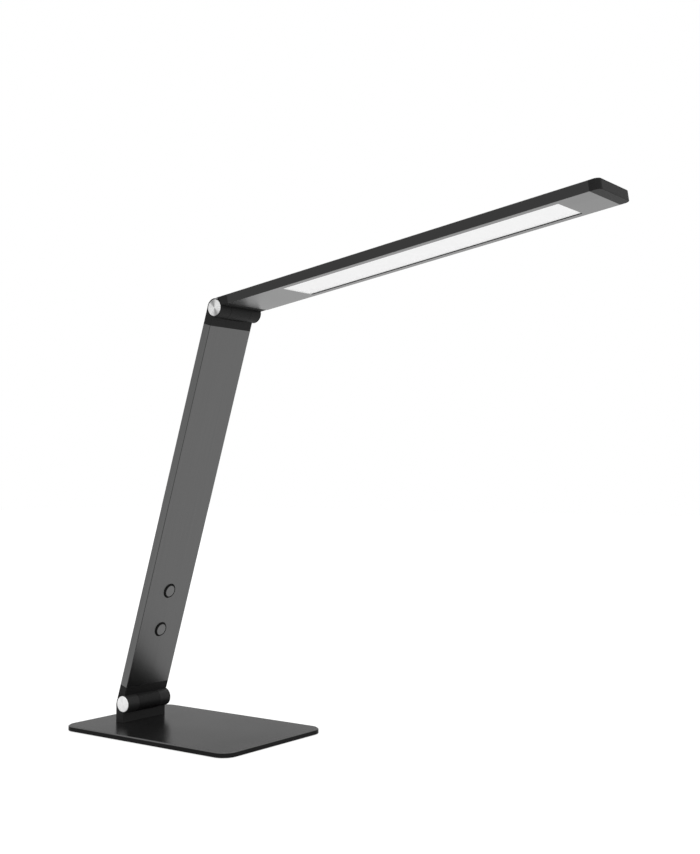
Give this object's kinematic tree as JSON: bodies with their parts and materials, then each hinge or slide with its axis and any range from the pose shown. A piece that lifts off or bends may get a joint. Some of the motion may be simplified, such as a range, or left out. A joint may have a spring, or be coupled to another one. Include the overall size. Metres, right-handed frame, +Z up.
{
  "type": "led table lamp",
  "caption": "Folding LED table lamp: a flat rectangular base, a leaning flat arm with round push buttons and a slim lamp head, joined by barrel friction hinges.",
  "frame": {"origin": "on the table, under the middle of the base plate", "axes": "+X from the hinge post towards the tip of the lamp head, +Y along the hinge axes, +Z up"},
  "size_m": [0.5166, 0.1334, 0.445],
  "materials": {
    "pad_rubber": "matte",
    "black_enamel": "satin",
    "black_casting": "satin",
    "black_plastic": "satin",
    "grey_aluminium": "brushed, dark anodised",
    "turned_disc": "turned",
    "screw_steel": "plain",
    "washer_nylon": "matte",
    "socket_plastic": "matte",
    "contact_metal": "plain",
    "opal_sheet": "satin",
    "clear_acrylic": "polished",
    "white_film": "matte",
    "circuit_board": "satin",
    "switch_plastic": "matte",
    "led_chip": "satin",
    "lead_jacket": "matte"
  },
  "bodies": {
    "base": {"foot_pad": "pad_rubber", "base_plate": "black_enamel", "post_screws": "screw_steel", "hinge_post": "black_casting", "dc_socket": "socket_plastic", "dc_socket_pin": "contact_metal", "base_lead": "lead_jacket", "lower_disc_near": "turned_disc", "lower_disc_far": "turned_disc", "lower_spring_washers": "screw_steel"},
    "arm": {"lower_hinge_screws": "screw_steel", "lower_friction_washers": "washer_nylon", "arm_lower_cap": "black_plastic", "arm_profile": "grey_aluminium", "arm_upper_cap": "black_plastic", "control_board": "circuit_board", "button_switches": "switch_plastic", "arm_lower_lead": "lead_jacket", "arm_upper_lead": "lead_jacket", "upper_disc_near": "turned_disc", "upper_disc_far": "turned_disc", "upper_spring_washers": "screw_steel"},
    "lower_push_button": {"lower_button": "black_plastic", "lower_button_face": "grey_aluminium", "lower_switch_plunger": "switch_plastic"},
    "upper_push_button": {"upper_button": "black_plastic", "upper_button_face": "grey_aluminium", "upper_switch_plunger": "switch_plastic"},
    "head": {"upper_hinge_screws": "screw_steel", "upper_friction_washers": "washer_nylon", "head_inner_cap": "black_plastic", "head_profile": "grey_aluminium", "tip_cap": "black_plastic", "diffuser": "opal_sheet", "light_guide": "clear_acrylic", "reflector_sheet": "white_film", "led_board_near": "circuit_board", "led_board_far": "circuit_board", "leds": "led_chip", "head_lead": "lead_jacket", "led_link_lead": "lead_jacket"}
  },
  "joints": [
    {"name": "arm_hinge", "type": "hinge", "parent": "base", "child": "arm", "pos_m": [-0.0631, 0, 0.02222], "axis": [0, 1, 0], "range_deg": [-45, 72]},
    {"name": "head_hinge", "type": "hinge", "parent": "arm", "child": "head", "pos_m": [0.04883, 0, 0.38159], "axis": [0, 1, 0], "range_deg": [-90, 114.6]},
    {"name": "lower_button_press", "type": "slide", "parent": "arm", "child": "lower_push_button", "axis": [-0.9548, 0, 0.2974], "range_m": [0, 0.0005], "stiffness_N_per_m": 3000},
    {"name": "upper_button_press", "type": "slide", "parent": "arm", "child": "upper_push_button", "axis": [-0.9548, 0, 0.2974], "range_m": [0, 0.0005], "stiffness_N_per_m": 3000}
  ]
}
